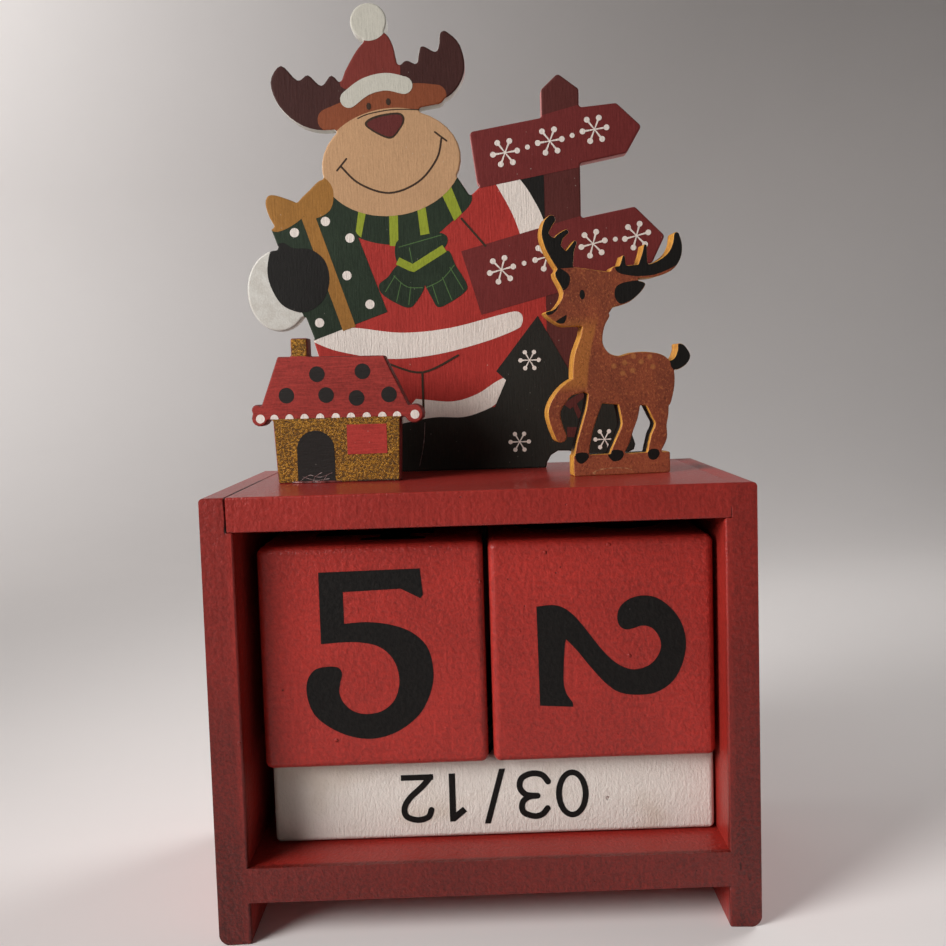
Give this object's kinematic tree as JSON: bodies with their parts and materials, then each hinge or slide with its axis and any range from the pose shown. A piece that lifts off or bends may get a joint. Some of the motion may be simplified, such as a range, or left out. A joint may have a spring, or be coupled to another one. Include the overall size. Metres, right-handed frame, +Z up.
{
  "type": "perpetual block calendar",
  "caption": "Small wooden block calendar: a red frame on feet holds date cubes over month bars that slide out, with painted winter cut-outs on top.",
  "frame": {"origin": "on the floor under the middle of the frame", "axes": "+X to the right seen from the front, +Y to the back, +Z up"},
  "size_m": [0.0954, 0.048, 0.1743],
  "materials": {
    "frame_paint": "satin red paint",
    "cube_paint": "satin red paint",
    "bar_paint": "matt off-white paint",
    "printed_ply": "white-edged printed plywood",
    "cottage_ply": "painted plywood with gold glitter walls",
    "deer_ply": "painted plywood with golden edges",
    "steel": "bright wire"
  },
  "bodies": {
    "frame": {"left_side_panel": "frame_paint", "right_side_panel": "frame_paint", "top_panel": "frame_paint", "bottom_shelf": "frame_paint", "back_panel": "frame_paint", "frame_brads": "steel", "back_panel_pins": "steel", "reindeer_cutout": "printed_ply", "cottage_cutout": "cottage_ply", "deer_cutout": "deer_ply"},
    "left_cube": {"left_date_cube": "cube_paint"},
    "right_cube": {"right_date_cube": "cube_paint"},
    "rear_bar": {"rear_month_bar": "bar_paint"},
    "middle_bar": {"middle_month_bar": "bar_paint"},
    "front_bar": {"front_month_bar": "bar_paint"}
  },
  "joints": [
    {"name": "left_cube_slide", "type": "slide", "parent": "frame", "child": "left_cube", "axis": [0, -1, 0], "range_m": [0, 0.046]},
    {"name": "right_cube_slide", "type": "slide", "parent": "frame", "child": "right_cube", "axis": [0, -1, 0], "range_m": [0, 0.046]},
    {"name": "rear_bar_slide", "type": "slide", "parent": "frame", "child": "rear_bar", "axis": [0, -1, 0], "range_m": [0, 0.046]},
    {"name": "middle_bar_slide", "type": "slide", "parent": "rear_bar", "child": "middle_bar", "axis": [0, -1, 0], "range_m": [0, 0.034]},
    {"name": "front_bar_slide", "type": "slide", "parent": "middle_bar", "child": "front_bar", "axis": [0, -1, 0], "range_m": [0, 0.022]}
  ]
}
